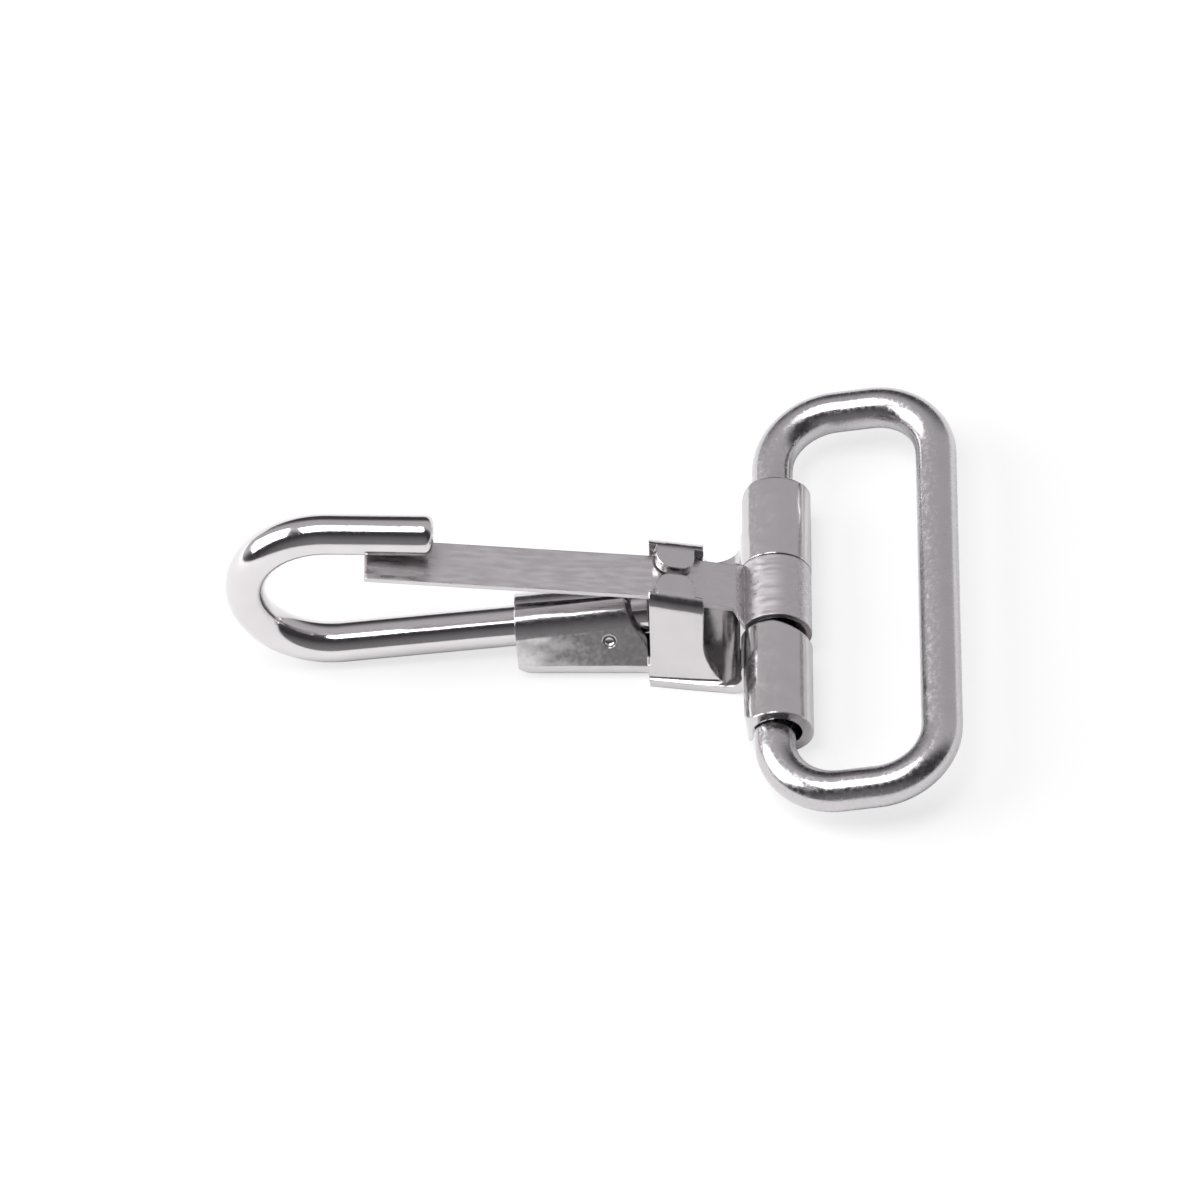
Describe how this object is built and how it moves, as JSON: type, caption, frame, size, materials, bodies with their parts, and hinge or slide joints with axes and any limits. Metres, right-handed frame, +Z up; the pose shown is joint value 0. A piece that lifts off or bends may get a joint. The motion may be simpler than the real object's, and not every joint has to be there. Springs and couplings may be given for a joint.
{
  "type": "webbing hook",
  "caption": "Spring snap hook for webbing: a round wire hook crimped in a folded sheet body, a leaf spring gate under the nose and a flat wire loop hinged in rolled knuckles",
  "frame": {"origin": "on the axis of the loop's bar, at the body's middle plane", "axes": "+Z up with the hook lying on its back, +X from the nose towards the loop, +Y along the bar"},
  "size_m": [0.071, 0.0488, 0.0202],
  "materials": {
    "hook": "bright nickel plate on round steel wire",
    "loop": "bright nickel plate on round steel wire",
    "body": "bright nickel plate on folded steel sheet",
    "leaf_spring": "satin nickel plate on spring steel strip"
  },
  "bodies": {
    "frame": {"body": "body", "hook": "hook"},
    "gate": {"leaf_spring": "leaf_spring"},
    "webbing_loop": {"loop": "loop"}
  },
  "joints": [
    {"name": "gate_press", "type": "hinge", "parent": "frame", "child": "gate", "pos_m": [0.00025, 0, 0.0004], "axis": [0, -1, 0], "range_deg": [0, 10], "stiffness_Nm_per_rad": 0.2, "springref_deg": -11.46},
    {"name": "loop_swing", "type": "hinge", "parent": "frame", "child": "webbing_loop", "pos_m": [0, 0, 0], "axis": [0, -1, 0], "range_deg": [-160, 135]}
  ]
}
